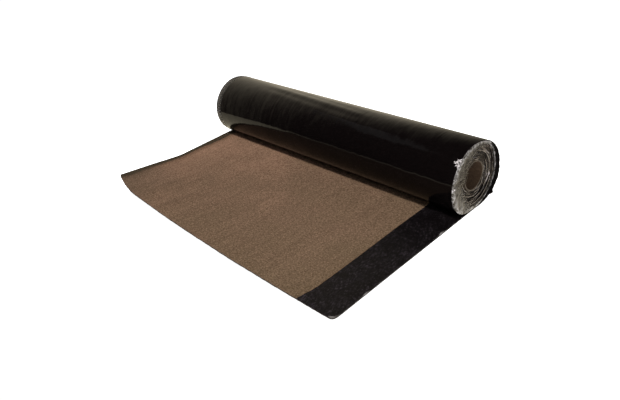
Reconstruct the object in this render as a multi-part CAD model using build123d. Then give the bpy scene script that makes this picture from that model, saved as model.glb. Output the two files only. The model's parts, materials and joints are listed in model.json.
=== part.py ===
from build123d import *
import os
from math import hypot

# Roll of mineral roofing felt lying on a floor, part unrolled, in millimetres.
# The roll's axis runs along X, with the lap edge at +X. The loose end leaves the bottom of the
# roll and runs towards -Y with its mineral face up. The origin is on the floor, in the middle of
# the footprint, and +Z is up.

# The sheet
sheet_width = 1000.0
sheet_thickness = 3.0
mineral_coat = 0.8  # thickness of the granules, which stop short of the lap strip
lap_width = 110.0

# The winding
turn_count = 17
winding_slack = 0.27  # air between one turn and the next
outer_turn_shift = 10.0  # how far the outer turn stands out along the axis, at the back of the roll
turn_gap_width = 0.9  # the gap that shows between turn edges on the ends of the roll
turn_gap_depth = 6.0

# The paper tube in the middle
core_bore = 76.2
core_wall = 4.0
core_inset = 4.0  # each end of the tube stops this far inside the wound turns
core_clearance = 0.2

# The loose end, measured from the line where it leaves the roll
loose_length = 563.0
loose_skew = 10.0  # it runs out of square by this much, towards the lap end
plain_bend_start = 265.0  # the sheet lifts from a bend along a slanted line: here at its plain edge
lap_bend_start = 508.0  # and here at its lap edge
bend_radius = 340.0
bend_angle = 7.0
cut_bow = 10.0  # how far the knife cut bows out in its middle
corner_run = 180.0  # the cut swings back to the plain edge over this width
corner_drop = 38.0
lap_corner_radius = 12.0

# Construction
overrun = 10.0  # how far a trimming solid reaches past what it trims

# Worked out from the sizes above
pitch = sheet_thickness + winding_slack
core_outer_radius = core_bore / 2 + core_wall
seat_radius = core_outer_radius + core_clearance
roll_radius = seat_radius + turn_count * pitch
axis_y = (loose_length - roll_radius) / 2
wound_low_x = -(sheet_width + outer_turn_shift) / 2
wound_high_x = wound_low_x + sheet_width
loose_low_x = wound_low_x + outer_turn_shift
loose_high_x = loose_low_x + sheet_width
contact_low_x = loose_low_x - loose_skew
contact_high_x = loose_high_x - loose_skew
front_y = axis_y - loose_length
bend_slant = (lap_bend_start - plain_bend_start) / sheet_width
lap_thickness = sheet_thickness - mineral_coat
first_gap_turn = 2  # counted from the outer turn, which is turn 0
last_gap_turn = turn_count - 2

# A spiral of half circles: the back halves share one centre and the front halves another
back_centre = (axis_y, roll_radius)
front_centre = (axis_y, roll_radius + pitch / 2)


def end_plane(x):
    return Plane.YZ.offset(x)


def half_turns(depth, first_turn=0, last_turn=0):
    """Half circles that follow the sheet inwards, a given depth below its outer face."""
    arcs = []
    for turn in range(first_turn, last_turn + 1):
        back_radius = roll_radius - turn * pitch - depth
        arcs.append(CenterArc(back_centre, back_radius, -90, 180))
        arcs.append(CenterArc(front_centre, back_radius - pitch / 2, 90, 180))
    return arcs


def face_between(outer_arcs, inner_arcs):
    """The flat ring piece between two runs of half circles, closed by a line at each end."""
    first_line = Line(inner_arcs[0] @ 0, outer_arcs[0] @ 0)
    last_line = Line(outer_arcs[-1] @ 1, inner_arcs[-1] @ 1)
    return make_face([*outer_arcs, *inner_arcs, first_line, last_line])


def between_x(face, low_x, high_x):
    return extrude(end_plane(low_x) * face, high_x - low_x)


def plan_prism(points, low_z, high_z):
    return extrude(Plane.XY.offset(low_z) * make_face(Polyline(*points, close=True)), high_z - low_z)


def plan_through(stations):
    """Outline from above of a strip whose two edges pass through the given places, (y, (low x, high x))."""
    low_edge = [(edges[0], y) for y, edges in stations]
    high_edge = [(edges[1], y) for y, edges in stations]
    return [*low_edge, *reversed(high_edge)]


def wound_turns():
    """Every turn but the outer one, as one solid with the tube's seat and the gaps on its ends."""
    outline = half_turns(sheet_thickness)
    closing_line = Line(outline[-1] @ 1, outline[0] @ 0)
    body = between_x(make_face([*outline, closing_line]), wound_low_x, wound_high_x)
    seat = Pos(axis_y, roll_radius) * Circle(seat_radius)
    body -= between_x(seat, wound_low_x - overrun, wound_high_x + overrun)
    gap_half = turn_gap_width / 2
    gap = face_between(
        half_turns(-gap_half, first_gap_turn, last_gap_turn),
        half_turns(gap_half, first_gap_turn, last_gap_turn),
    )
    body -= between_x(gap, wound_high_x - turn_gap_depth, wound_high_x + overrun)
    body -= between_x(gap, wound_low_x - overrun, wound_low_x + turn_gap_depth)
    return body


def outer_turn():
    """The last turn: its edges stand out behind, in line with the wound turns in front and below."""
    ring = face_between(half_turns(0), half_turns(sheet_thickness))
    strip = between_x(ring, wound_low_x - overrun, loose_high_x + overrun)
    back_y = axis_y + roll_radius
    turned_front_y = axis_y - roll_radius
    past_back_y = back_y + overrun
    past_front_y = turned_front_y - overrun
    wound = (wound_low_x, wound_high_x)
    shifted = (loose_low_x, loose_high_x)
    contact = (contact_low_x, contact_high_x)
    over_top = [(past_back_y, shifted), (back_y, shifted), (turned_front_y, wound), (past_front_y, wound)]
    up_the_back = [(past_back_y, shifted), (back_y, shifted), (axis_y, contact)]
    down_the_front = [(axis_y, wound), (past_front_y, wound)]
    upper = strip & plan_prism(plan_through(over_top), roll_radius, 2 * roll_radius + overrun)
    lower_back = strip & plan_prism(plan_through(up_the_back), -overrun, roll_radius)
    lower_front = strip & plan_prism(plan_through(down_the_front), -overrun, roll_radius)
    return upper + lower_back + lower_front


def bend_y(x):
    return axis_y - plain_bend_start - bend_slant * (x - loose_low_x)


def lifted_face(x, thickness):
    """Section of the stretch that lifts: a gentle bend, then straight on to past the cut."""
    centre = (bend_y(x), bend_radius)
    straight = loose_length + 2 * overrun - plain_bend_start
    straight_angle = 180 - bend_angle
    underside = CenterArc(centre, bend_radius, -90, -bend_angle)
    topside = CenterArc(centre, bend_radius - thickness, -90, -bend_angle)
    underside_run = PolarLine(underside @ 1, straight, straight_angle)
    topside_run = PolarLine(topside @ 1, straight, straight_angle)
    first_line = Line(underside @ 0, topside @ 0)
    last_line = Line(underside_run @ 1, topside_run @ 1)
    return make_face([underside, underside_run, last_line, topside_run, topside, first_line])


def loose_strip(low_x, high_x, thickness):
    """A strip of the loose end: flat on the floor up to the slanted line, then lifting along it."""
    flat_plan = [(low_x, axis_y), (high_x, axis_y), (high_x, bend_y(high_x)), (low_x, bend_y(low_x))]
    flat = plan_prism(flat_plan, 0, thickness)
    across = high_x - low_x
    fall = bend_slant * across
    section = end_plane(low_x) * lifted_face(low_x, thickness)
    return flat + extrude(section, hypot(across, fall), dir=(across, -fall, 0))


def hand_cut():
    """What the knife leaves: a bowed cut that swings back to the plain edge, and a worn lap corner."""
    corner_x = loose_low_x + corner_run
    corner_y = front_y + cut_bow
    lap_corner = (loose_high_x, corner_y)
    bow = ThreePointArc(lap_corner, ((loose_high_x + corner_x) / 2, front_y), (corner_x, corner_y))
    plain_tip = (loose_low_x, corner_y + corner_drop)
    swing = TangentArc(bow @ 1, plain_tip, tangent=bow % 1)
    rest = Polyline(plain_tip, (contact_low_x, axis_y), (contact_high_x, axis_y), lap_corner)
    plan = make_face([bow, swing, rest])
    worn_corner = plan.vertices().group_by(Axis.X)[-1].sort_by(Axis.Y)[0]
    return extrude(Plane.XY.offset(-overrun) * fillet(worn_corner, lap_corner_radius), 2 * roll_radius)


def loose_end():
    """The unrolled stretch, with no mineral coat on its lap strip."""
    low_x = contact_low_x - overrun
    high_x = loose_high_x + overrun
    past_front_y = front_y - overrun
    contact_line_x = contact_high_x - lap_width
    front_line_x = loose_high_x - lap_width
    coated_side = [(axis_y, (low_x, contact_line_x)), (past_front_y, (low_x, front_line_x))]
    lap_side = [(axis_y, (contact_line_x, high_x)), (past_front_y, (front_line_x, high_x))]
    coated = loose_strip(low_x, high_x, sheet_thickness)
    coated &= plan_prism(plan_through(coated_side), -overrun, roll_radius)
    lap = loose_strip(low_x, high_x, lap_thickness)
    lap &= plan_prism(plan_through(lap_side), -overrun, roll_radius)
    return (coated + lap) & hand_cut()


def felt_sheet():
    return wound_turns() + outer_turn() + loose_end()


def core_tube():
    ring = Circle(core_outer_radius) - Circle(core_bore / 2)
    return between_x(Pos(axis_y, roll_radius) * ring, wound_low_x + core_inset, wound_high_x - core_inset)


os.makedirs("parts", exist_ok=True)
export_step(felt_sheet(), "parts/felt_sheet.step")
export_step(core_tube(), "parts/core_tube.step")
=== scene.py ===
import json
import math

import bpy
import numpy as np
from mathutils import Matrix, Vector, noise


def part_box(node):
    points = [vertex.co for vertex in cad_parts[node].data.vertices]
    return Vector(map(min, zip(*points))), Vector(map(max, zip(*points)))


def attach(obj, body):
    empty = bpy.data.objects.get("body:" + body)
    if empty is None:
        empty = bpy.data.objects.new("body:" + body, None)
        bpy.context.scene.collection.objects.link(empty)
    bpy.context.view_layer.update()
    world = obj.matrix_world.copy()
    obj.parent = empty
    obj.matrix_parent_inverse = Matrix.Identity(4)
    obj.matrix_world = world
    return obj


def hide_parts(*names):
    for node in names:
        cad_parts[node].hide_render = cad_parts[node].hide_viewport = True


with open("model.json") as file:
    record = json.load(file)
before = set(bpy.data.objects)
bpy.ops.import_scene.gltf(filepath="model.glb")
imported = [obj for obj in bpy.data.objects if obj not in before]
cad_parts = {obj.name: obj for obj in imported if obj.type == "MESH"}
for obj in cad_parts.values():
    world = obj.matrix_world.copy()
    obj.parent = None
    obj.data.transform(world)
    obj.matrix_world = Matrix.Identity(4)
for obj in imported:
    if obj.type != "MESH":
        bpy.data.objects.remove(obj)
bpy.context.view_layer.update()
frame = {"record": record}

feltLow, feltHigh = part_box("felt_sheet")
tubeLow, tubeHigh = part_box("core_tube")
rollRadius = feltHigh.z / 2
axisY = feltHigh.y - rollRadius
looseLength = axisY - feltLow.y      # from the line where the sheet leaves the roll to its cut
boreRadius = frame["record"]["mounts"][0]["dims"]["r_mm"] / 1000

# the felt, in metres: the roll lies along X with its lap edge at +X, and its loose end runs towards -Y

felt = {
    "width": 1.0,
    "thickness": 0.003,
    "coat": 0.0008,           # granules, missing on the lap strip and along the plain edge
    "slack": 0.00027,         # air between turns
    "lapWidth": 0.110,
    "margin": 0.018,          # bare line along the plain edge
    "skew": 0.010,            # the loose end runs out of square towards the lap end
    "plainBendStart": 0.265,  # the sheet lifts from a bend along a slanted line
    "lapBendStart": 0.508,
    "bendRadius": 0.340,
    "bendAngle": math.radians(7.0),
    "cutBow": 0.010,
    "cornerRun": 0.180,
    "cornerDrop": 0.038,
    "lapCornerRadius": 0.012,
    "sag": 0.0090,            # the outer turn hangs loose low on its front
    "sagTurns": (0.61, 0.88, 0.988),   # where that starts, is most and ends
    "ripple": 0.0012,         # slow waves where the sheet is off the floor
    "rippleSize": 0.13,
    "rippleRun": (0.12, 0.40),         # they grow from the first run to the second
    "edgeCurl": (0.0058, 0.0030),      # the plain edge curls up this much, by the roll and at the cut
    "curlWidth": 0.030,
    "curlRun": (0.06, 0.30),  # from the first run to the second, one curl gives way to the other
    "droop": 0.0010,          # the outer turn's bare edge sinks on to the turn below
    "droopWidth": 0.024,
    "droopTurns": (0.10, 0.93),
}
wrinkle = {                   # a shallow fold along the top of the outer turn
    "height": 0.0009,
    "long": 0.036,            # from ridge to ridge
    "spread": 0.85,           # how far the waves beside the fold reach, in ridges
    "lift": 0.7,              # the waves stand on a low swell, as a share of their height
    "across": (0.20, 0.64),
    "turns": (0.510, 0.546),
    "fade": (-0.10, 0.15),    # it dies out at both ends, in shares of its length
}
pitch = felt["thickness"] + felt["slack"]
drift = feltHigh.x - feltLow.x - felt["width"]      # loose end against wound turns, along the axis
woundLow = feltLow.x
woundHigh = woundLow + felt["width"]
looseLow = woundLow + drift
looseHigh = feltHigh.x
lapLine = felt["width"] - felt["lapWidth"]          # measured across the sheet
backTurn = 0.25               # turns start under the roll and go up its back
noiseStep = (3.17, 1.91, 2.53)                      # each seed reads the noise this much further on
creaseSlope = 2.2
smoothAngles = {"felt": 35, "tube": 35, "film": 50}  # degrees
tiny = 1e-9                   # keeps the last row or column on its own side of a line


# small helpers

def clearSelection():
    if bpy.context.object and bpy.context.object.mode != "OBJECT":
        bpy.ops.object.mode_set(mode="OBJECT")
    bpy.ops.object.select_all(action="DESELECT")


def makeActive(piece):
    clearSelection()
    piece.select_set(True)
    bpy.context.view_layer.objects.active = piece


def applyModifier(piece, kind, **settings):
    makeActive(piece)
    modifier = piece.modifiers.new(kind.lower(), kind)
    for key, value in settings.items():
        setattr(modifier, key, value)
    bpy.ops.object.modifier_apply(modifier=modifier.name)


def smoothShade(piece, degrees):
    makeActive(piece)
    bpy.ops.object.shade_smooth_by_angle(angle=math.radians(degrees))


def points(piece):
    found = np.empty(len(piece.data.vertices) * 3)
    piece.data.vertices.foreach_get("co", found)
    return found.reshape(-1, 3)


def movePoints(piece, places):
    piece.data.vertices.foreach_set("co", np.ascontiguousarray(places, dtype=float).ravel())
    piece.data.update()


def mark(piece, name, values):        # one number at each point, for the finish to read
    attribute = piece.data.attributes.new(name, "FLOAT", "POINT")
    attribute.data.foreach_set("value", np.asarray(values, dtype=float))


def mixed(low, high, share):
    return low + (high - low) * share


def eased(value, low, high):          # 0 to 1, soft at both ends
    share = np.clip((value - low) / (high - low), 0, 1)
    return share * share * (3 - 2 * share)


def hump(value, middle, width):       # 1 in the middle, soft on both sides
    return np.exp(-((value - middle) / width) ** 2)


def asLine(values):                   # places along one line, for the noise
    return np.stack([values, values * 0, values * 0], axis=1)


def wander(places, size, seed):       # smooth noise between about -1 and 1
    shift = Vector([seed * step for step in noiseStep])
    return np.array([noise.noise(Vector(p) / size + shift) for p in places])


def creases(places, size, seed):      # sharp folds: 1 on the ridges, 0 and less in the valleys
    return 1 - np.abs(wander(places, size, seed)) * creaseSlope


# flat sheet, one face grid with two layers, that is rolled up afterwards

def flatSheet(name, across, along):
    clearSelection()
    bpy.ops.mesh.primitive_grid_add(
        x_subdivisions=across, y_subdivisions=along, size=1, location=(0.5, 0.5, 0))
    piece = bpy.context.object
    piece.name = piece.data.name = name
    bpy.ops.object.transform_apply(location=True)
    applyModifier(piece, "SOLIDIFY", thickness=1, offset=1)
    return piece


def alongWinding(turns, depth):       # half circles with two centres, as a tight spiral
    half = np.floor(turns * 2)
    front = half % 2
    radius = rollRadius - half * pitch / 2 - depth
    angle = np.pi * (turns * 2 - half + front - 0.5)
    y = axisY + radius * np.cos(angle)
    z = rollRadius + front * pitch / 2 + radius * np.sin(angle)
    return y, z


def driftAt(turns):                   # how far the outer turn's edge lies behind its place at the back
    front = drift * (1 - np.cos(np.pi * np.clip((turns - backTurn) * 2, 0, 1))) / 2
    return front + felt["skew"] * (1 - eased(turns, 0, backTurn))


def sagAt(turns):
    start, most, end = felt["sagTurns"]
    return felt["sag"] * eased(turns, start, most) * (1 - eased(turns, most, end))


def droopAt(turns, across):
    start, end = felt["droopTurns"]
    shown = eased(turns, 0, start) * (1 - eased(turns, end, 1))
    return felt["droop"] * np.clip(1 - across / felt["droopWidth"], 0, 1) ** 2 * shown


def wrinkleAt(turns, across):
    s = wrinkle
    low, high = s["across"]
    share = (across - low) / (high - low)
    aside = (turns - mixed(*s["turns"], share)) * 2 * np.pi * rollRadius / s["long"]
    wave = (s["lift"] - np.sin(2 * np.pi * aside)) * hump(aside, 0, s["spread"])
    return s["height"] * wave * eased(share, *s["fade"]) * eased(1 - share, *s["fade"])


def cutAt(across):                    # distance of the knife cut from the line under the roll
    run, drop, bow, worn = (felt[key] for key in ("cornerRun", "cornerDrop", "cutBow", "lapCornerRadius"))
    half = (felt["width"] - run) / 2
    bowRadius = (half ** 2 + bow ** 2) / (2 * bow)
    bowed = bowRadius - np.sqrt(bowRadius ** 2 - np.clip(across - run - half, -half, half) ** 2)
    sine = half / bowRadius
    cosine = math.sqrt(1 - sine ** 2)
    swingRadius = (run ** 2 + drop ** 2) / (2 * (drop * cosine - run * sine))
    past = np.clip(run - across, 0, None) + swingRadius * sine
    swung = swingRadius * cosine - np.sqrt(swingRadius ** 2 - past ** 2)
    nipped = worn - np.sqrt(worn ** 2 - np.clip(across - felt["width"] + worn, 0, worn) ** 2)
    return looseLength - bowed - swung - nipped


def liftAt(run, across):              # height and slope of the loose end
    start = mixed(felt["plainBendStart"], felt["lapBendStart"], across / felt["width"])
    radius, bend = felt["bendRadius"], felt["bendAngle"]
    past = np.clip(run - start, 0, None)
    onArc = np.minimum(past, radius * math.sin(bend))
    level = np.sqrt(radius ** 2 - onArc ** 2)
    return radius - level + (past - onArc) * math.tan(bend), onArc / level


def rippleAt(run, across):
    spots = np.stack([across, run, run * 0], axis=1)
    return (wander(spots, felt["rippleSize"], seed=3) + 1) * felt["ripple"] * eased(run, *felt["rippleRun"])


def curlAt(run, across):
    start, end = felt["curlRun"]
    rolled = np.clip(1 - across / felt["curlWidth"], 0, 1) ** 2
    return mixed(*felt["edgeCurl"], eased(run, start, end)) * rolled * eased(run, 0, start)


def onLooseEnd(across, run, depth):
    height, steep = liftAt(run, across)
    height = height + rippleAt(run, across) + curlAt(run, across)
    tilt = np.sqrt(1 + steep ** 2)
    x = looseLow + across - felt["skew"] * (1 - run / looseLength)
    return np.stack([x, axisY - run + depth * steep / tilt, height + depth / tilt], axis=1)


# shader maths as sums of readings

class Reading:
    def __init__(self, nodes, socket):
        self.nodes, self.socket = nodes, socket

    def math(self, operation, first, second):
        return self.nodes.add("ShaderNodeMath", {"operation": operation}, {0: first, 1: second})

    def __add__(self, other):
        return self.math("ADD", self, other)

    def __sub__(self, other):
        return self.math("SUBTRACT", self, other)

    def __rsub__(self, other):
        return self.math("SUBTRACT", other, self)

    def __mul__(self, other):
        return self.math("MULTIPLY", self, other)

    __radd__ = __add__
    __rmul__ = __mul__


class NodeTree:
    def __init__(self, tree):
        self.tree = tree

    def add(self, kind, settings=None, sockets=None, output=0):
        node = self.tree.nodes.new(kind)
        for key, value in (settings or {}).items():
            if key == "stops":
                self.setStops(node.color_ramp.elements, value)
            else:
                setattr(node, key, value)
        for key, value in (sockets or {}).items():
            self.feed(node.inputs[key], value)
        return Reading(self, node.outputs[output])

    def feed(self, socket, value):
        if isinstance(value, Reading):
            self.tree.links.new(value.socket, socket)
        else:
            socket.default_value = value

    def setStops(self, elements, stops):
        for place, shade in stops[1:-1]:
            elements.new(place)
        for element, (place, shade) in zip(elements, stops):
            element.position = place
            element.color = (*shade, 1)

    def ramp(self, reading, stops):
        return self.add("ShaderNodeValToRGB", {"stops": stops}, {"Fac": reading}, "Color")

    def compare(self, operation, first, second):      # a number from two vectors
        return self.add("ShaderNodeVectorMath", {"operation": operation}, {0: first, 1: second}, "Value")

    def axis(self, vector, name):
        return self.add("ShaderNodeSeparateXYZ", {}, {"Vector": vector}, name)


class Finish(NodeTree):
    def __init__(self, name):
        self.material = bpy.data.materials.new(name)
        self.material.use_nodes = True
        super().__init__(self.material.node_tree)
        self.shader = self.tree.nodes["Principled BSDF"]
        self.place = self.add("ShaderNodeTexCoord", output="Object")

    def marked(self, name):           # a number that the piece carries at each point
        return self.add("ShaderNodeAttribute", {"attribute_name": name}, output="Fac")

    def stretched(self, scale):
        sockets = {"Vector": self.place, "Scale": scale}
        return self.add("ShaderNodeMapping", {"vector_type": "POINT"}, sockets)

    def cloud(self, scale, detail=2.0, rough=0.5, where=None):
        sockets = {"Vector": where or self.place, "Scale": scale, "Detail": detail, "Roughness": rough}
        return self.add("ShaderNodeTexNoise", {}, sockets, "Fac")

    def streaks(self, scale, detail, rough):          # a cloud with its own scale along each axis
        return self.cloud(1, detail, rough, self.stretched(scale))

    def grains(self, scale, output):
        return self.add("ShaderNodeTexVoronoi", {}, {"Vector": self.place, "Scale": scale}, output)

    def multiplied(self, first, second):              # two colours
        settings = {"data_type": "RGBA", "blend_type": "MULTIPLY"}
        return self.add("ShaderNodeMix", settings, {0: 1, 6: first, 7: second}, 2)

    def bump(self, height, strength, distance, under=None):
        sockets = {"Height": height, "Strength": strength, "Distance": distance}
        if under:
            sockets["Normal"] = under
        return self.add("ShaderNodeBump", {}, sockets, "Normal")

    def shade(self, sockets):
        for key, value in sockets.items():
            self.feed(self.shader.inputs[key], (*value, 1) if isinstance(value, tuple) else value)
        return self.material


# finishes

stone = {                      # the granule face and its chips
    "tones": [                 # moss, brown and red, in full light, before the grains' own shade
        (0.15, (0.196, 0.130, 0.078)),
        (0.45, (0.222, 0.139, 0.088)),
        (0.75, (0.348, 0.204, 0.132)),
    ],
    "patchScale": 5,
    "patchShare": 0.6,
    "redderAndLit": (-0.46, 0.37, 0),        # the way in which the stone turns redder and brighter: partly its own tone, partly painted light
    "redShift": 0.155,
    # darker and greyer towards the lifted tip
    "darkTip": (looseLow, feltLow.y + felt["cornerDrop"], 0.03),
    "tipShades": [(0.02, (0.66, 0.72, 0.74)), (0.22, (1, 1, 1))],     # by the distance from the tip
    "tipScale": 9,
    "tipStray": 0.12,
    "edgeShades": [(0.45, (0.44, 0.44, 0.42)), (0.75, (1, 1, 1))],     # darker beside the bare line
    "edgeScale": 10,           # fits the ramp to the sheet's plain edge
    "edgeShift": 5.35,
    "grainShades": [(0.1, (0.34, 0.33, 0.32)), (0.5, (0.60, 0.60, 0.60)), (0.9, (0.95, 0.95, 0.96))],
    "grainScale": 640,
    "grainShare": 0.45,
    "clumpScale": 220,
    "clumpShare": 2.0,
    "clumpHeight": 0.6,
    "laneScale": (75, 2.2, 2.2),       # lanes left by the granule hopper
    "laneShare": 0.4,
    "chipScale": 1500,
}


def mineralTint(finish):              # the stone's colour drifts over the sheet, with painted light brighter to the left and towards the roll; it is darker towards the lifted tip
    s = stone
    patch = finish.cloud(s["patchScale"], detail=3, rough=0.6) * s["patchShare"]
    # painted light: redder and brighter to the left and towards the roll
    patch = patch + finish.compare("DOT_PRODUCT", finish.place, s["redderAndLit"]) + s["redShift"]
    stray = (finish.cloud(s["tipScale"]) - 0.5) * s["tipStray"]
    # darker and greyer towards the lifted tip
    worn = finish.ramp(finish.compare("DISTANCE", finish.place, s["darkTip"]) + stray, s["tipShades"])
    side = finish.axis(finish.place, "X") * s["edgeScale"] + s["edgeShift"]
    tint = finish.multiplied(finish.ramp(patch, s["tones"]), worn)
    return finish.multiplied(tint, finish.ramp(side, s["edgeShades"]))


def mineralFace():
    s = stone
    finish = Finish("mineral_granules")
    cells = finish.grains(s["grainScale"], "Color")
    grain = finish.add("ShaderNodeSeparateColor", {}, {"Color": cells}, "Red")
    clump = finish.cloud(s["clumpScale"], detail=3, rough=0.65)
    lane = finish.streaks(s["laneScale"], detail=2, rough=0.6)
    tone = (clump - 0.5) * s["clumpShare"] + (grain - 0.5) * s["grainShare"]
    tone = tone + (lane - 0.5) * s["laneShare"] + 0.5
    height = clump * s["clumpHeight"] - finish.grains(s["grainScale"], "Distance")
    return finish.shade({
        "Base Color": finish.multiplied(mineralTint(finish), finish.ramp(tone, s["grainShades"])),
        "Roughness": 0.95,
        "Specular IOR Level": 0.1,
        "Normal": finish.bump(height, strength=0.6, distance=0.0012),
    })


def looseChips():
    s = stone
    finish = Finish("slate_chips")
    tone = finish.ramp(finish.marked("tone"), s["grainShades"])
    return finish.shade({
        "Base Color": finish.multiplied(mineralTint(finish), tone),
        "Roughness": 0.85,
        "Specular IOR Level": 0.2,
        "Normal": finish.bump(finish.cloud(s["chipScale"]), strength=0.3, distance=0.0004),
    })


bitumen = {                    # the bare lap strip
    "crinkleScale": (640, 340, 640),
    "crinkleShare": 0.45,
    "strokeScale": (460, 120, 460),    # lighter strokes along the strip
    "patchScale": 22,          # flecks come in patches
    "patchShare": 0.25,
    "toFront": 0.5,            # and more of them to the front
    "shades": [
        (0.46, (0.0026, 0.0019, 0.0021)),
        (0.58, (0.0040, 0.0032, 0.0034)),
        (0.72, (0.036, 0.029, 0.034)),
    ],
    "roughness": 0.36,
    "patchRoughness": 0.2,
}


def lapBitumen():
    s = bitumen
    finish = Finish("bare_bitumen")
    crinkle = finish.streaks(s["crinkleScale"], detail=3, rough=0.7)
    stroke = finish.streaks(s["strokeScale"], detail=2, rough=0.5)
    patch = finish.cloud(s["patchScale"], rough=0.6) - finish.axis(finish.place, "Y") * s["toFront"]
    fleck = stroke + (crinkle - 0.5) * s["crinkleShare"] + (patch - 0.5) * s["patchShare"]
    return finish.shade({
        "Base Color": finish.ramp(fleck, s["shades"]),
        "Roughness": s["roughness"] + patch * s["patchRoughness"],
        "Specular IOR Level": 0.14,
        "Normal": finish.bump(crinkle, strength=0.5, distance=0.0012),
    })


bareLine = {                   # along the plain edge
    "speckScale": 260,
    "shades": [(0.35, (0.020, 0.015, 0.009)), (0.75, (0.076, 0.056, 0.036))],
}


def bareMargin():
    s = bareLine
    finish = Finish("bare_margin")
    speck = finish.cloud(s["speckScale"], detail=3, rough=0.65)
    return finish.shade({
        "Base Color": finish.ramp(speck, s["shades"]),
        "Roughness": 0.8,
        "Specular IOR Level": 0.1,
        "Normal": finish.bump(speck, strength=0.4, distance=0.001),
    })


gloss = {                      # the black film on the sheet's underside
    "streakScale": (120, 5, 5),
    "swellScale": 14,
    "scuffScale": 120,
    "shades": [(0.3, (0.0022, 0.0016, 0.0016)), (0.8, (0.0040, 0.0028, 0.0028))],
    "roughness": 0.05,
    "haze": 0.06,              # up to this much rougher
    "hazeScale": 9,
}


def glossFilm():
    s = gloss
    finish = Finish("black_film_face")
    streak = finish.streaks(s["streakScale"], detail=4, rough=0.6)
    scuff = finish.cloud(s["scuffScale"], detail=4, rough=0.7)
    swell = finish.bump(finish.cloud(s["swellScale"]), strength=0.10, distance=0.02)
    return finish.shade({
        "Base Color": finish.ramp(scuff, s["shades"]),
        "Roughness": s["roughness"] + finish.cloud(s["hazeScale"]) * s["haze"],
        "IOR": 1.24,
        "Normal": finish.bump(streak, strength=0.08, distance=0.004, under=swell),
    })


fibres = {                     # in the sheet's edges
    "scale": (260, 700, 700),
    "share": 0.9,
    "shades": [(0.15, (0.008, 0.0055, 0.004)), (0.5, (0.042, 0.029, 0.020)), (0.9, (0.27, 0.225, 0.175))],
}


def cutEdge():
    s = fibres
    finish = Finish("cut_edge")
    fibre = finish.streaks(s["scale"], detail=4, rough=0.7)
    return finish.shade({
        "Base Color": finish.ramp((fibre - 0.5) * s["share"] + finish.marked("dust"), s["shades"]),
        "Roughness": 0.7,
        "Specular IOR Level": 0.3,
        "Normal": finish.bump(fibre, strength=0.6, distance=0.001),
    })


thinFilm = {                   # its own marks say how much it hides and how pale it is
    "cloudScale": 90,
    "crumpleScale": 140,
    "shades": [
        (0.15, (0.026, 0.019, 0.016)),
        (0.5, (0.084, 0.076, 0.067)),
        (0.8, (0.26, 0.245, 0.238)),
        (1.0, (0.80, 0.74, 0.74)),
    ],
    "paleStray": 0.30,
    "coverStray": 0.25,
    "roughness": 0.20,
    "cloudRoughness": 0.15,
}


def clearFilm():
    s = thinFilm
    finish = Finish("clear_film")
    cloudy = finish.cloud(s["cloudScale"], detail=4, rough=0.55)
    crumple = finish.cloud(s["crumpleScale"], detail=3)
    return finish.shade({
        "Base Color": finish.ramp(finish.marked("pale") + (cloudy - 0.5) * s["paleStray"], s["shades"]),
        "Roughness": s["roughness"] + cloudy * s["cloudRoughness"],
        "Alpha": finish.marked("cover") + (cloudy - 0.5) * s["coverStray"],
        "Specular IOR Level": 0.25,
        "Normal": finish.bump(crumple, strength=0.25, distance=0.0012),
    })


paper = {
    "fibreScale": (180, 420, 420),
    # the bore darkened with painted shade; the cut ends paler
    "shadedBore": [(0.3, (0.028, 0.016, 0.009)), (0.75, (0.076, 0.047, 0.027))],
    "ends": [(0.3, (0.050, 0.038, 0.026)), (0.75, (0.120, 0.096, 0.070))],
}


def paperTube(name, shades):
    finish = Finish(name)
    fibre = finish.streaks(paper["fibreScale"], detail=4, rough=0.65)
    return finish.shade({
        "Base Color": finish.ramp(fibre, shades),
        "Roughness": 0.85,
        "Specular IOR Level": 0.2,
        "Normal": finish.bump(fibre, strength=0.3, distance=0.0008),
    })


finishes = {
    "mineral": mineralFace(),
    "lap": lapBitumen(),
    "film": glossFilm(),
    "edge": cutEdge(),
    "chips": looseChips(),
    "margin": bareMargin(),
    "clear": clearFilm(),
    "tube": paperTube("paper_tube", paper["shadedBore"]),
    "tubeEnd": paperTube("paper_tube_end", paper["ends"]),
}
feltFinishes = ["film", "mineral", "lap", "edge", "margin"]      # slot order on the felt pieces
print("finishes ready:", len(finishes))


def feltSlots(piece, coated):         # coated(across) says where the granules are, on the flat sheet
    for name in feltFinishes:
        piece.data.materials.append(finishes[name])
    for face in piece.data.polygons:
        if face.normal.z < -0.5:
            name = "film"
        elif face.normal.z <= 0.5:
            name = "edge"
        elif coated(face.center.x):
            name = "mineral"
        else:
            name = "lap" if face.center.x > 0.5 else "margin"
        face.material_index = feltFinishes.index(name)


def addToObject(piece, slot, *nodes):
    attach(piece, "root")
    if nodes:
        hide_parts(*nodes)


# the loose end and the turn that it leaves

looseSheet = {
    "marginColumns": 4,
    "coatedColumns": 84,
    "lapColumns": 30,
    "cornerColumns": 8,
    "endRows": 132,
    "turnRows": 168,
    "rowStep": 0.0045,         # about the length of a row
    "step": 0.0007,            # width of the slope where the granules stop
    "marginStray": 0.0080,     # the bare line along the plain edge gets wider and narrower
    "marginWave": 0.07,
    "marginLimits": (-0.4, 1),
    "lapStray": 0.0005,
    "lapWave": 0.012,
    "lapBow": 0.0040,          # the granules reach further on to the lap strip near the cut
    "bowShares": (0.30, 0.75, 0.87, 1),         # of the way to the cut: start, most of it, and back to none
    "lip": 0.0045,             # the film on the outer turn's back edge stands out this much more
    "lipTurns": 0.25,
    "tear": 0.0020,
    "tearTurns": (0.02, 0.10),
    "tearWave": 0.012,
    "flap": (0.112, 0.009, 0.006),     # a torn corner of it low on the back: turn, length, how far out
    "raggedCut": 0.0008,
    "cutWave": 0.006,
    "crinkle": 0.00035,        # of the lap strip
    "crinkleSize": 0.011,
    "edgeDust": 0.25,
}


def lapBowAt(toCut):
    start, most, fall, end = looseSheet["bowShares"]
    return eased(toCut, start, most) * (1 - eased(toCut, fall, end)) * looseSheet["lapBow"]


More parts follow.
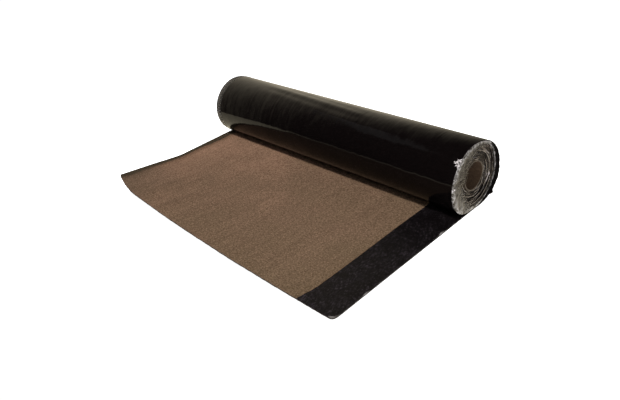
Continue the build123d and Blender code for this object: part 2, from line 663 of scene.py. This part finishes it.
def lipAt(turns, along):
    s = looseSheet
    flapTurn, flapLength, flapReach = s["flap"]
    shown = np.sin(np.pi * np.clip(turns / s["lipTurns"], 0, 1))
    torn = eased(turns, *s["tearTurns"]) * wander(along, s["tearWave"], seed=8)
    return shown * s["lip"] + torn * s["tear"] + hump(turns, flapTurn, flapLength) * flapReach


def buildLooseSheet():
    s = looseSheet
    stops = [0, felt["margin"] - s["step"], felt["margin"], lapLine, lapLine + s["step"],
             felt["width"] - felt["lapCornerRadius"], felt["width"]]
    spans = [s["marginColumns"], 1, s["coatedColumns"], 1, s["lapColumns"], s["cornerColumns"]]
    counts = np.cumsum([0, *spans])
    columns, rows = int(counts[-1]), s["endRows"] + s["turnRows"]
    piece = flatSheet("loose_end", columns, rows)
    gridPlace = counts / columns
    feltSlots(piece, lambda x: gridPlace[2] < x < gridPlace[3])
    flat = points(piece)
    column = np.rint(flat[:, 0] * columns)
    row = np.rint(flat[:, 1] * rows)
    along = asLine(row * s["rowStep"])
    toCut = np.clip(1 - row / s["endRows"], 0, 1)       # 0 under the roll, 1 at the cut
    across = np.interp(flat[:, 0], gridPlace, stops)
    strayed = np.clip(wander(along, s["marginWave"], seed=6), *s["marginLimits"]) * s["marginStray"]
    across += np.isin(column, counts[1:3]) * strayed
    frayed = wander(along, s["lapWave"], seed=7) * s["lapStray"] + lapBowAt(toCut)
    across += np.isin(column, counts[3:5]) * frayed
    bare = (column < counts[2]) | (column > counts[3])
    depth = flat[:, 2] * (felt["thickness"] - bare * felt["coat"])
    ragged = wander(asLine(across), s["cutWave"], seed=1) * s["raggedCut"]
    run = toCut * (cutAt(np.clip(across, 0, felt["width"])) + ragged)
    spread = np.stack([across, row * s["rowStep"], row * 0], axis=1)
    crinkle = wander(spread, s["crinkleSize"], seed=2) * s["crinkle"] * flat[:, 2] * (column > counts[4])
    loose = onLooseEnd(across, run, depth + crinkle)
    turns = np.clip((row - s["endRows"]) / s["turnRows"], 0, 1)
    raised = sagAt(turns) + wrinkleAt(turns, across) - droopAt(turns, across)
    x = looseLow + across - driftAt(turns) + lipAt(turns, along) * (column == columns)
    y, z = alongWinding(np.minimum(turns, 1 - tiny), depth - raised)
    wound = (row > s["endRows"])[:, None]
    movePoints(piece, np.where(wound, np.stack([x, y, z], axis=1), loose))
    mark(piece, "dust", np.full(len(flat), s["edgeDust"]))
    smoothShade(piece, smoothAngles["felt"])
    addToObject(piece, "bitumen_felt", "felt_sheet")
    return piece


looseEnd = buildLooseSheet()
print("loose end:", len(looseEnd.data.polygons), "faces")


# the wound turns, an uneven spiral whose edges show on both ends

windings = {
    "rowsPerTurn": 96,
    "lastTurn": 16.48,
    "endBand": 0.014,
    "plainShares": (0, 1 / 4, 1),      # columns within the band, from the plain edge inwards
    "lapShares": (1, 1 / 3, 1 / 8, 0),          # and out to the lap edge
    "sink": 0.0055,            # how far a group of turns sinks behind its neighbours
    "groupTurns": 1.35,        # turns in a group
    "groupArc": 0.9,           # how far a group keeps its depth, as a share of the radius
    "groupContrast": 2.4,
    "nick": 0.0010,
    "nickLength": 0.035,
    "longNick": 3,             # longer nicks lie over the short ones
    "nicked": 0.8,             # the higher, the more of the edge is nicked
    "dish": 0.0030,            # the inner turns sit this much deeper
    "dust": 0.49,
    "groupPaintedShade": 0.42,         # painted shade: sunken groups of turns are darker, groups that stand out paler
    "dustStray": 0.55,
    "dustLength": 0.022,
}


def groupAt(turns):                   # -1 to 1, alike for turns that lie side by side
    s = windings
    angle = 2 * np.pi * turns
    ring = [np.cos(angle) / s["groupArc"], np.sin(angle) / s["groupArc"], turns / s["groupTurns"]]
    return np.clip(wander(np.stack(ring, axis=1), 1, seed=5) * s["groupContrast"], -1, 1)


def sunkAt(turns):
    s = windings
    line = asLine(turns)
    nicks = wander(line, s["nickLength"], seed=9) + wander(line, s["nickLength"] * s["longNick"], seed=10)
    dished = s["dish"] * (turns - 1) / (s["lastTurn"] - 1)
    return (1 - groupAt(turns)) / 2 * s["sink"] + np.clip(nicks + s["nicked"], 0, None) * s["nick"] + dished


def buildWindings():
    s = windings
    plainEnd = [share * s["endBand"] for share in s["plainShares"]]
    lapEnd = [felt["width"] - share * s["endBand"] for share in s["lapShares"]]
    stops = [*plainEnd, lapLine / 2, lapLine, *lapEnd]
    spanned = s["lastTurn"] - 1
    piece = flatSheet("wound_turns", len(stops) - 1, int(spanned * s["rowsPerTurn"]))
    feltSlots(piece, lambda x: x < 0.5)
    flat = points(piece)
    across = np.interp(flat[:, 0], np.linspace(0, 1, len(stops)), stops)
    turns = 1 + flat[:, 1] * spanned
    bare = across > lapLine - tiny
    depth = flat[:, 2] * (felt["thickness"] - bare * felt["coat"])
    fromEnd = np.minimum(across, felt["width"] - across)
    inward = np.where(across > felt["width"] / 2, -1, 1) * (1 - eased(fromEnd, 0, s["endBand"] * 2))
    x = woundLow + across + inward * sunkAt(turns)
    y, z = alongWinding(turns, depth)
    movePoints(piece, np.stack([x, y, z], axis=1))
    dusty = wander(asLine(turns), s["dustLength"], seed=12) * s["dustStray"]
    # dust on the turns' edges, with painted shade: darker on sunken groups, paler on those that stand out
    mark(piece, "dust", s["dust"] + groupAt(turns) * s["groupPaintedShade"] + dusty)
    smoothShade(piece, smoothAngles["felt"])
    addToObject(piece, "bitumen_felt", "felt_sheet")
    return piece


woundTurns = buildWindings()
print("wound turns:", len(woundTurns.data.polygons), "faces")


# stone chips that stand out of the granule face

chips = {
    "count": 23000,
    "size": (0.0011, 0.0008, 0.00045),          # from its middle: along, across, up
    "grown": (0.65, 1.35),     # smallest and largest against that size
    "lean": 0.3,
    "sunk": 0.00005,
    "cutClear": 0.006,         # kept away from the cut and the lap strip
    "lapClear": 0.0015,
    "hiddenRun": 0.030,        # none under the roll
    "seed": 11,
}
chipCorners = np.array([
    (1, 0, 0), (0.1, 1, 0.2), (-0.9, 0.1, 0.1), (0, -1, -0.1), (0.15, 0.1, 1), (-0.1, 0, -0.8)])
chipFaces = np.array([
    (0, 1, 4), (1, 2, 4), (2, 3, 4), (3, 0, 4), (1, 0, 5), (2, 1, 5), (3, 2, 5), (0, 3, 5)])


def buildChips():
    s = chips
    count = s["count"]
    chance = np.random.default_rng(s["seed"])
    across = chance.uniform(felt["margin"] + looseSheet["marginStray"], lapLine - s["lapClear"], count)
    run = s["hiddenRun"] + chance.random(count) * (cutAt(across) - s["cutClear"] - s["hiddenRun"])
    centres = onLooseEnd(across, run, np.full(count, felt["thickness"] - s["sunk"]))
    shaped = chipCorners[None] * (chance.uniform(*s["grown"], (count, 1, 3)) * s["size"])
    turn = chance.uniform(0, 2 * np.pi, count)[:, None]
    turned = shaped.copy()
    turned[:, :, 0] = shaped[:, :, 0] * np.cos(turn) - shaped[:, :, 1] * np.sin(turn)
    turned[:, :, 1] = shaped[:, :, 0] * np.sin(turn) + shaped[:, :, 1] * np.cos(turn)
    turned[:, :, 2] += turned[:, :, 0] * chance.uniform(-s["lean"], s["lean"], (count, 1))
    corners = (turned + centres[:, None]).reshape(-1, 3)
    firstCorners = np.arange(count)[:, None, None] * len(chipCorners)
    faces = (chipFaces[None] + firstCorners).reshape(-1, 3)
    mesh = bpy.data.meshes.new("mineral_chips")
    mesh.from_pydata(corners.tolist(), [], faces.tolist())
    mesh.materials.append(finishes["chips"])
    piece = bpy.data.objects.new("mineral_chips", mesh)
    bpy.context.scene.collection.objects.link(piece)
    mark(piece, "tone", np.repeat(chance.random(count), len(chipCorners)))
    addToObject(piece, "bitumen_felt")
    return piece


mineralChips = buildChips()
print("chips:", len(mineralChips.data.polygons), "faces")


# paper tube

tube = {
    "segments": 128,
    "softEdge": 0.0006,
    "wavy": 0.0005,            # its ends are cut a little unevenly
    "waveSize": 0.02,
    "endFacing": 0.3,          # faces turned this far along the axis belong to the ends
}


def buildTube():
    clearSelection()
    length = tubeHigh.x - tubeLow.x
    outerRadius = (tubeHigh.z - tubeLow.z) / 2
    centre = ((tubeLow.x + tubeHigh.x) / 2, axisY, rollRadius)
    bpy.ops.mesh.primitive_cylinder_add(
        vertices=tube["segments"], radius=outerRadius, depth=length, end_fill_type="NOTHING",
        location=centre, rotation=(0, math.pi / 2, 0))
    piece = bpy.context.object
    piece.name = piece.data.name = "paper_tube"
    bpy.ops.object.transform_apply(location=True, rotation=True)
    applyModifier(piece, "SOLIDIFY", thickness=outerRadius - boreRadius, offset=-1)
    applyModifier(piece, "BEVEL", width=tube["softEdge"], segments=2, limit_method="ANGLE")
    places = points(piece)
    ends = np.sign(places[:, 0] - centre[0])
    places[:, 0] -= ends * (wander(places, tube["waveSize"], seed=7) + 1) * tube["wavy"]
    movePoints(piece, places)
    for name in ("tube", "tubeEnd"):
        piece.data.materials.append(finishes[name])
    for face in piece.data.polygons:
        face.material_index = int(abs(face.normal.x) > tube["endFacing"])
    smoothShade(piece, smoothAngles["tube"])
    addToObject(piece, "paper_tube", "core_tube")
    return piece


paperCore = buildTube()
print("paper tube:", len(paperCore.data.polygons), "faces")


# clear film that overhangs the sheet's edges: between turns, over the rim, at the far end and along the lap

filmSheet = 0.00008            # its thickness


def inwardAt(y, z):
    inward = np.stack([y * 0, axisY - y, rollRadius - z], axis=1)
    return inward / np.linalg.norm(inward, axis=1)[:, None]


def finishFilm(piece, places, cover, pale):
    movePoints(piece, places)
    mark(piece, "cover", cover + np.zeros(len(places)))
    mark(piece, "pale", pale + np.zeros(len(places)))
    piece.data.materials.append(finishes["clear"])
    smoothShade(piece, smoothAngles["film"])
    addToObject(piece, "bitumen_felt")
    return piece


# film folded over the near rim

rimFold = {
    "columns": 48,
    "rows": 520,
    # turn, then in millimetres the overlap outside, the reach over the end, bulge and crumple,
    # then the cover, and how pale it is near the rim and further in
    "outline": [
        (0.400, -3.0, 8.0, 0.0, 0.5, 0.30, 0.50, 0.40),
        (0.480, -2.0, 18.0, 0.2, 0.9, 0.55, 0.44, 0.30),
        (0.560, 0.4, 44.0, 0.4, 1.3, 0.72, 0.42, 0.22),
        (0.640, 1.5, 58.0, 0.6, 1.6, 0.80, 0.38, 0.16),
        (0.730, 1.5, 58.0, 0.8, 1.6, 0.80, 0.36, 0.16),
        (0.780, 2.5, 54.0, 1.0, 1.3, 0.90, 0.42, 0.26),
        (0.835, 3.5, 48.0, 2.0, 0.9, 1.10, 0.57, 0.42),
        (0.890, 3.5, 44.0, 2.0, 0.9, 1.05, 0.56, 0.42),
        (0.945, 1.5, 26.0, 1.0, 1.7, 0.45, 0.38, 0.32),
        (0.985, 0.3, 9.0, 0.0, 0.9, 0.50, 0.46, 0.40),
        (1.060, 0.0, 7.0, 0.0, 0.7, 0.80, 0.58, 0.50),
        (1.200, 0.0, 8.0, 0.0, 0.8, 0.90, 0.62, 0.54),
        (1.350, 0.0, 8.0, 0.0, 0.8, 0.90, 0.62, 0.54),
        (1.470, 0.0, 5.0, 0.0, 0.6, 0.50, 0.52, 0.46),
    ],
    "reachStray": 0.25,        # as a share of the reach
    "reachLength": 0.018,
    "above": 0.0003,
    "proud": 0.0012,
    "turnOver": (-0.001, 0.003),       # between these reaches it turns from the outside on to the end
    "bulgeWidth": 0.0075,
    "bulgeLimit": 0.02,        # further from the rim it falls off no more
    "bulgeOut": 0.3,           # share of the bulge that shows along the axis too
    "crumpleSize": 0.013,
    "crumpleStart": (-0.001, 0.005),
    "waveSize": 0.03,
    "waveShare": 0.5,
    "band": (0.005, 0.013),    # the crumpled pale band along the rim ends between these reaches
    "bandCover": 0.92,
    "bandPale": 0.66,
    "foldLevel": (1, 0.25),    # between ridges and valleys, on the band and inside it
    "foldHighlight": 0.26,          # painted highlight on ridges, painted shade in valleys
    "foldCover": 0.15,
    "thinShare": 0.45,         # from this share of its reach on it hides less
    "thinned": 0.85,           # and this much less at its inner end
    "brownStart": 0.009,       # from here in it gets browner
    "brownShare": 0.6,         # up to this share of its reach
    "glint": (0.746, 0.005, 0.4),      # painted highlight on the rim's film: turn, length, how bright
}


def buildRimFold():
    s = rimFold
    piece = flatSheet("rim_film", s["columns"], s["rows"])
    flat = points(piece)
    table = np.array(s["outline"])
    turns = mixed(table[0, 0], table[-1, 0], flat[:, 1])
    found = [np.interp(turns, table[:, 0], values) for values in table[:, 1:].T]
    overlap, reach, bulge, crumple = (length / 1000 for length in found[:4])
    cover, pale, deepPale = found[4:]
    reach = reach * (1 + wander(asLine(turns), s["reachLength"], seed=33) * s["reachStray"])
    travel = flat[:, 0] * (overlap + reach) - overlap   # 0 on the rim, less outside, more on the end
    swell = bulge * hump(np.clip(travel, -s["bulgeLimit"], s["bulgeLimit"]), 0, s["bulgeWidth"])
    upright = eased(travel, *s["turnOver"])
    back = np.clip(-travel, 0, None)
    x = looseHigh - driftAt(turns) - back + upright * s["proud"] + swell * s["bulgeOut"]
    y, z = alongWinding(turns, np.clip(travel, 0, None) - s["above"] - swell - sagAt(turns))
    places = np.stack([x, y, z], axis=1)
    height = creases(places, s["crumpleSize"], seed=31)
    height += wander(places, s["waveSize"], seed=32) * s["waveShare"]
    height = np.clip(height, 0, None) * crumple * eased(travel, *s["crumpleStart"]) + flat[:, 2] * filmSheet
    places[:, 0] += height * upright
    places -= inwardAt(y, z) * (height * (1 - upright))[:, None]
    inside = eased(travel, *s["band"])
    fold = creases(places, s["crumpleSize"], seed=31) * (1 - inside / 2)
    fold += creases(places, s["crumpleSize"] / 2, seed=34) * (1 - inside)
    fold -= mixed(*s["foldLevel"], inside)
    thinned = 1 - s["thinned"] * eased(travel, reach * s["thinShare"], reach)
    # painted light on the crumple: ridges are paler and hide more than valleys
    cover = mixed(s["bandCover"], cover * thinned, inside) + fold * s["foldCover"]
    pale = mixed(pale, deepPale, eased(travel, s["brownStart"], reach * s["brownShare"]))
    pale = mixed(s["bandPale"], pale, inside) + fold * s["foldHighlight"]
    # painted highlight
    glintTurn, glintLength, bright = s["glint"]
    pale += hump(turns, glintTurn, glintLength) * (1 - inside) * bright
    return finishFilm(piece, places, cover, pale)


# film that shows between the turns of the near end

fringe = {
    "columns": 5,
    "rowsPerTurn": 130,
    "turns": (1.0, 16.4),
    "root": 0.004,
    "reach": 0.0045,
    "spacing": 1.2,            # its columns are closer at the root
    "groups": (-0.1, 0.6),     # groups of turns that stand out show it
    "outerTurns": 1.6,         # up to this turn it shows more
    "outerShown": 0.7,
    "pressed": 0.85,           # it lies flat under the film that is folded over the rim
    "ragged": 0.6,
    "raggedStray": 0.7,
    "raggedLength": 0.020,
    "raggedLimits": (0.05, 1.3),
    "crumple": 0.0020,
    "crumpleSize": 0.006,
    "crumpleLevel": 0.3,       # between bends inwards and outwards
    "cover": 0.50,
    "outerCover": 0.40,        # more on the outermost turn
    "outerCoverTurns": 1.9,
    "pale": 0.60,
    "paleStray": 0.4,
    "paleLength": 0.03,
    # painted highlight on the film of a few middle turns
    "glint": {"turns": (8.5, 12.5), "place": 0.178, "long": 0.025, "pale": 0.7},
}


def buildFringe():
    s = fringe
    first, last = s["turns"]
    piece = flatSheet("turn_film", s["columns"], int((last - first) * s["rowsPerTurn"]))
    flat = points(piece)
    turns = mixed(first, last, flat[:, 1])
    line = asLine(turns)
    shown = eased(groupAt(turns) + s["outerShown"] * (turns < s["outerTurns"]), *s["groups"])
    table = np.array(rimFold["outline"])
    folded = np.interp(turns % 1, table[:, 0], table[:, 2], left=0) / 1000      # reach of the rim's film
    shown *= 1 - s["pressed"] * (turns * pitch < folded)
    ragged = s["ragged"] + wander(line, s["raggedLength"], seed=21) * s["raggedStray"]
    ragged = shown * np.clip(ragged, *s["raggedLimits"])
    out = flat[:, 0] ** s["spacing"]
    x = woundHigh - sunkAt(turns) - s["root"] + out * (s["root"] + s["reach"] * ragged)
    y, z = alongWinding(turns, -felt["slack"] / 2 - flat[:, 2] * filmSheet)
    places = np.stack([x, y, z], axis=1)
    bend = creases(places, s["crumpleSize"], seed=23) - s["crumpleLevel"]
    places += inwardAt(y, z) * (bend * s["crumple"] * out * ragged)[:, None]
    # painted highlight
    glint = s["glint"]
    low, high = glint["turns"]
    bright = hump(turns % 1, glint["place"], glint["long"]) * (turns > low) * (turns < high)
    cover = s["cover"] + s["outerCover"] * (turns < s["outerCoverTurns"])
    pale = s["pale"] + wander(line, s["paleLength"], seed=24) * s["paleStray"] + bright * glint["pale"]
    return finishFilm(piece, places, cover, pale)


# torn scrap that stands off the near rim

tornScrap = {
    "columns": 26,
    "rows": 30,
    "turns": (0.612, 0.650),
    "turnStray": 0.004,
    "strayShare": 0.4,
    "long": 0.020,             # along the roll, back from the rim
    "pastRim": 0.001,
    "shortSides": 0.7,         # its sides are shorter by this share
    "ragged": 0.8,
    "raggedStray": 0.6,
    "raggedShare": 0.16,
    "above": 0.0004,
    "stand": 0.0060,
    "crumpleSize": 0.0062,
    "cover": 0.80,
    "pale": 0.55,
    # painted highlight on the crumple's crests
    "crestHighlight": 0.9,
}


def buildTornScrap():
    s = tornScrap
    piece = flatSheet("torn_film", s["columns"], s["rows"])
    flat = points(piece)
    aside = 2 * flat[:, 1] - 1
    ragged = s["ragged"] + wander(asLine(flat[:, 1]), s["raggedShare"], seed=41) * s["raggedStray"]
    long = s["long"] * (1 - aside ** 4 * s["shortSides"]) * ragged
    stray = wander(flat * (1, 1, 0), s["strayShare"], seed=42) * s["turnStray"]
    turns = mixed(*s["turns"], flat[:, 1]) + stray
    x = looseHigh - driftAt(turns) + s["pastRim"] - flat[:, 0] * long
    y, z = alongWinding(turns, -s["above"] - sagAt(turns))
    places = np.stack([x, y, z], axis=1)
    crest = np.clip(creases(places, s["crumpleSize"], seed=43), 0, 1) ** 2
    height = crest * s["stand"] * np.sin(np.pi * flat[:, 0]) ** 0.5 + flat[:, 2] * filmSheet
    places -= inwardAt(y, z) * height[:, None]
    # painted highlight on the crests
    return finishFilm(piece, places, s["cover"], s["pale"] + crest * s["crestHighlight"])


# film round the far end of the outer turn

farFringe = {
    "columns": 8,
    "rows": 220,
    "turns": (0.26, 0.99),
    "across": (0.026, 0.006),  # from the inside towards the far edge
    "stray": 0.003,
    "strayLength": 0.05,
    "above": 0.00015,
    "crumple": 0.0008,
    "crumpleSize": 0.008,
    "crumpleLeast": 0.2,
    "cover": 0.75,
    "innerCover": 0.20,        # it lies tighter there
    "coverStray": 0.25,
    "coverLength": 0.06,
    "pale": 0.50,
}


def buildFarFringe():
    s = farFringe
    piece = flatSheet("far_film", s["columns"], s["rows"])
    flat = points(piece)
    turns = mixed(*s["turns"], flat[:, 1])
    line = asLine(turns)
    across = mixed(*s["across"], flat[:, 0]) + wander(line, s["strayLength"], seed=51) * s["stray"]
    raised = s["above"] + flat[:, 2] * filmSheet + sagAt(turns) - droopAt(turns, across)
    y, z = alongWinding(turns, -raised)
    places = np.stack([looseLow - driftAt(turns) + across, y, z], axis=1)
    crumple = np.clip(creases(places, s["crumpleSize"], seed=52), s["crumpleLeast"], 1) * s["crumple"]
    places -= inwardAt(y, z) * (crumple * np.sin(np.pi * flat[:, 0]))[:, None]
    inner = s["innerCover"] + wander(line, s["coverLength"], seed=53) * s["coverStray"]
    return finishFilm(piece, places, mixed(inner, s["cover"], flat[:, 0] ** 2), s["pale"])


# scraps along the lap's outer edge and a wider patch at its corner

lapFilm = {
    "columns": 6,
    "rows": 260,
    "run": (0.06, 0.552),
    "inside": 0.0012,
    "outside": 0.0006,
    "stray": 0.0022,
    "strayLength": 0.012,
    "torn": [(0.552, 0.014, 0.009), (0.442, 0.010, 0.0035), (0.15, 0.014, 0.005)],     # run, length, depth
    "tornStray": 0.4,
    "tornLength": 0.004,
    "cornerRun": (0.022, 0.009),       # before the cut, where it follows the worn corner
    "cornerShare": 0.45,
    "above": 0.0004,
    "crumple": 0.0008,
    "crumpleSize": 0.006,
    "cover": 0.45,
    "tornCover": 0.4,
    "pale": 0.55,
    "paleStray": 0.4,
    "paleLength": 0.01,
    "tornPale": 0.02,
}


def buildLapFilm():
    s = lapFilm
    piece = flatSheet("lap_film", s["columns"], s["rows"])
    flat = points(piece)
    run = mixed(*s["run"], flat[:, 1])
    line = asLine(run)
    ragged = np.clip(wander(line, s["strayLength"], seed=61), 0, 1)
    inside = s["inside"] * ragged
    outside = s["outside"] + s["stray"] * ragged
    torn = np.zeros(len(run))
    for place, long, deep in s["torn"]:
        near = hump(run, place, long)
        torn = np.maximum(torn, near)
        inside += deep * near * (1 + wander(line, s["tornLength"], seed=62) * s["tornStray"])
    start, end = (looseLength - before for before in s["cornerRun"])
    edge = felt["width"] - felt["lapCornerRadius"] * eased(run, start, end) * s["cornerShare"]
    across = edge - inside + flat[:, 0] * (inside + outside)
    spread = np.stack([across, run, run * 0], axis=1)
    crumple = np.clip(creases(spread, s["crumpleSize"], seed=63), 0, 1) * s["crumple"]
    height = felt["thickness"] - felt["coat"] + s["above"] + flat[:, 2] * filmSheet + crumple
    cover = s["cover"] + torn * s["tornCover"]
    pale = s["pale"] + wander(line, s["paleLength"], seed=64) * s["paleStray"] + torn * s["tornPale"]
    return finishFilm(piece, onLooseEnd(across, run, height), cover, pale)


filmPieces = [buildFringe(), buildRimFold(), buildTornScrap(), buildFarFringe(), buildLapFilm()]
print("film:", sum(len(piece.data.polygons) for piece in filmPieces), "faces")


# floor, light and camera

stage = {
    "floor": ((-1.0, -0.8), (1.2, 1.0)),
    "floorShade": (0.90, 0.90, 0.90),
    "floorGlow": (1.0, 1.0, 1.0),      # keeps the floor plain white round the object
    "floorCard": ((-0.82, -0.60), (0.95, 0.80)),       # as much of the floor as the black film mirrors
    "cardShade": (0.0, 0.0, 0.0),
    "cardGlow": (1.21, 1.08, 0.79),
    "cardDepth": 0.001,
    "softbox": {"place": (-0.2, -1.3, 3.5), "size": (1.6, 0.18), "power": 136, "mirrored": False},
    "sideLight": {"place": (3.0, -1.0, 2.4), "size": (1.2, 1.2), "power": 50},
    "sparkle": {"place": (2.3, -1.7, 1.7), "size": (0.15, 0.15), "power": 9},
    "ceilingCard": {"place": (-1.35, -0.45, 2.1), "size": (0.95, 0.5), "power": 0.45},
    "backCard": {"place": (0.4, 1.9, 2.4), "size": (1.6, 0.6), "power": 5},
    "surround": 0.10,          # plain light from all round
    "backdrop": 1.05,
    "glowFrom": (-1, 0.22, 0),         # glossy faces see a warm light wall on this side
    "glow": [(0.58, 0.0), (0.64, 0.20), (0.70, 0.53), (0.76, 0.86), (0.84, 1.14), (0.90, 1.0), (0.94, 0.12)],
    "glowTint": (1.0, 0.885, 0.67),
    "glowBelow": (-0.4, 0.2),          # this far below the horizon it is down to this share
}
lens = {
    "azimuth": 50.225,         # degrees
    "elevation": 30.568,
    "roll": -7.974,
    "distance": 1.7392,
    "target": (0.0948, 0.0055, 0),
    "focal": 34.955,
    "sensor": 36,
}


def litFinish(name, base, glow):
    finish = Finish(name)
    return finish.shade({
        "Base Color": base,
        "Roughness": 0.95,
        "Specular IOR Level": 0.0,
        "Emission Color": glow,
        "Emission Strength": 1.0,
    })


def addPlate(name, finish, height):
    clearSelection()
    (lowX, lowY), (highX, highY) = stage[name]
    bpy.ops.mesh.primitive_plane_add(size=1, location=((lowX + highX) / 2, (lowY + highY) / 2, height))
    plate = bpy.context.object
    plate.name = name
    plate.scale = (highX - lowX, highY - lowY, 1)
    plate.data.materials.append(finish)
    return plate


def buildFloor():
    floor = addPlate("floor", litFinish("pale_floor", stage["floorShade"], stage["floorGlow"]), 0)
    floor.visible_glossy = False
    cardFinish = litFinish("floor_card", stage["cardShade"], stage["cardGlow"])
    card = addPlate("floorCard", cardFinish, -stage["cardDepth"])
    card.visible_camera = card.visible_diffuse = card.visible_shadow = False


def addLight(name, place, size, power, mirrored=True):      # mirrored: shows in glossy faces
    lamp = bpy.data.lights.new(name, "AREA")
    lamp.shape = "RECTANGLE"
    lamp.size, lamp.size_y = size
    lamp.energy = power
    holder = bpy.data.objects.new(name, lamp)
    holder.location = place
    holder.rotation_euler = (-Vector(place)).to_track_quat("-Z", "Y").to_euler()
    holder.visible_camera = False
    holder.visible_glossy = mirrored
    bpy.context.scene.collection.objects.link(holder)


def setWorld():
    s = stage
    world = bpy.data.worlds.new("studio")
    world.use_nodes = True
    room = NodeTree(world.node_tree)
    plain, output = (room.tree.nodes[name] for name in ("Background", "World Output"))
    seen = room.add("ShaderNodeLightPath", output="Is Camera Ray")
    sockets = {"Value": seen, "To Min": s["surround"], "To Max": s["backdrop"]}
    room.feed(plain.inputs["Color"], (1, 1, 1, 1))
    room.feed(plain.inputs["Strength"], room.add("ShaderNodeMapRange", {}, sockets, "Result"))
    direction = room.add("ShaderNodeTexCoord", output="Generated")
    stops = [(place, [bright * share for share in s["glowTint"]]) for place, bright in s["glow"]]
    wall = room.ramp(room.compare("DOT_PRODUCT", direction, s["glowFrom"]), stops)
    low, share = s["glowBelow"]
    sockets = {"Value": room.axis(direction, "Z"), "From Min": low, "From Max": 0, "To Min": share}
    dimmed = room.add("ShaderNodeMapRange", {}, sockets, "Result")
    glow = room.add("ShaderNodeBackground", {}, {"Color": wall, "Strength": dimmed}, "Background")
    mirrored = room.add("ShaderNodeLightPath", output="Is Glossy Ray")
    sockets = {"Fac": mirrored, 1: Reading(room, plain.outputs["Background"]), 2: glow}
    room.feed(output.inputs["Surface"], room.add("ShaderNodeMixShader", {}, sockets, "Shader"))
    bpy.context.scene.world = world


def addCamera():
    turn, rise, roll = (math.radians(lens[key]) for key in ("azimuth", "elevation", "roll"))
    back = Vector((math.sin(turn) * math.cos(rise), -math.cos(turn) * math.cos(rise), math.sin(rise)))
    right = Vector((0, 0, 1)).cross(back).normalized()
    up = back.cross(right)
    right, up = right * math.cos(roll) + up * math.sin(roll), up * math.cos(roll) - right * math.sin(roll)
    camera = bpy.data.cameras.new("camera")
    camera.lens = lens["focal"]
    camera.sensor_width = lens["sensor"]
    camera.sensor_fit = "HORIZONTAL"
    holder = bpy.data.objects.new("camera", camera)
    holder.matrix_world = Matrix((right, up, back)).transposed().to_4x4()
    holder.location = Vector(lens["target"]) + back * lens["distance"]
    bpy.context.scene.collection.objects.link(holder)
    bpy.context.scene.camera = holder


buildFloor()
for name in ("softbox", "sideLight", "sparkle", "ceilingCard", "backCard"):
    addLight(name, **stage[name])
setWorld()
addCamera()
bpy.context.scene.view_settings.view_transform = "Standard"
print("stage ready")
